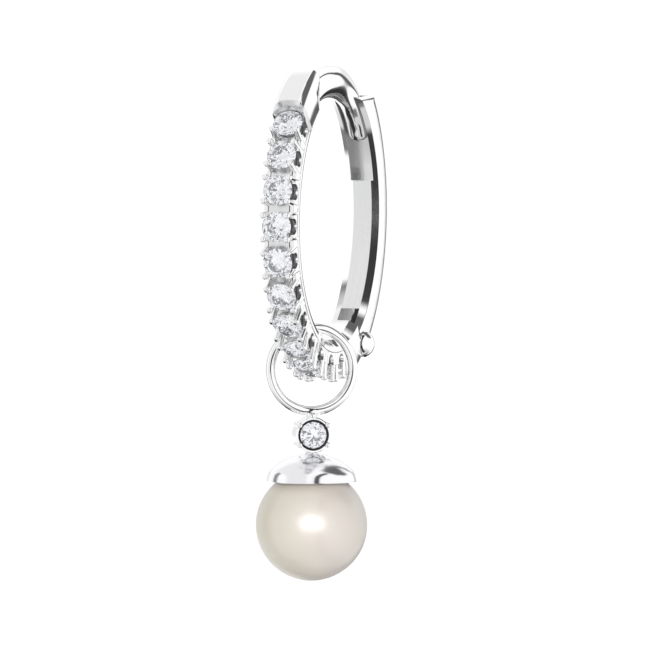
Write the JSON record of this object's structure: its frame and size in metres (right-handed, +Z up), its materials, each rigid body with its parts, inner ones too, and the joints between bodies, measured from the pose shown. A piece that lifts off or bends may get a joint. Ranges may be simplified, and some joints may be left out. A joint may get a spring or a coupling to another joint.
{
  "type": "pearl hoop earring",
  "caption": "Hinged silver hoop earring with a front row of round clear stones and a round pearl hanging from a loose ring.",
  "frame": {"origin": "top of the ear wire, on its centreline, where the ear lobe carries the earring", "axes": "+X across the band, along the hinge pin; +Y from the stones toward the plain back half; +Z up"},
  "size_m": [0.005, 0.0148, 0.023],
  "materials": {
    "silver": "high polish, rhodium-bright silver",
    "clear_stone": "faceted, clear and sparkling",
    "pearl": "cream pearl lustre"
  },
  "bodies": {
    "front": {"front_half": "silver", "stone_01": "clear_stone", "stone_02": "clear_stone", "stone_03": "clear_stone", "stone_04": "clear_stone", "stone_05": "clear_stone", "stone_06": "clear_stone", "stone_07": "clear_stone", "stone_08": "clear_stone", "stone_09": "clear_stone", "stone_10": "clear_stone", "stone_11": "clear_stone"},
    "back": {"back_half": "silver", "hinge_pin": "silver"},
    "drop": {"drop_setting": "silver", "drop_stone": "clear_stone", "pearl": "pearl"}
  },
  "joints": [
    {"name": "back_half_opens", "type": "hinge", "parent": "front", "child": "back", "pos_m": [0, 0.00344, -0.01206], "axis": [-1, 0, 0], "range_deg": [0, 55]},
    {"name": "drop_swings", "type": "hinge", "parent": "front", "child": "drop", "pos_m": [0, -0.00214, -0.01285], "axis": [-0.4695, 0.8829, 0], "range_deg": [-60, 60]}
  ]
}
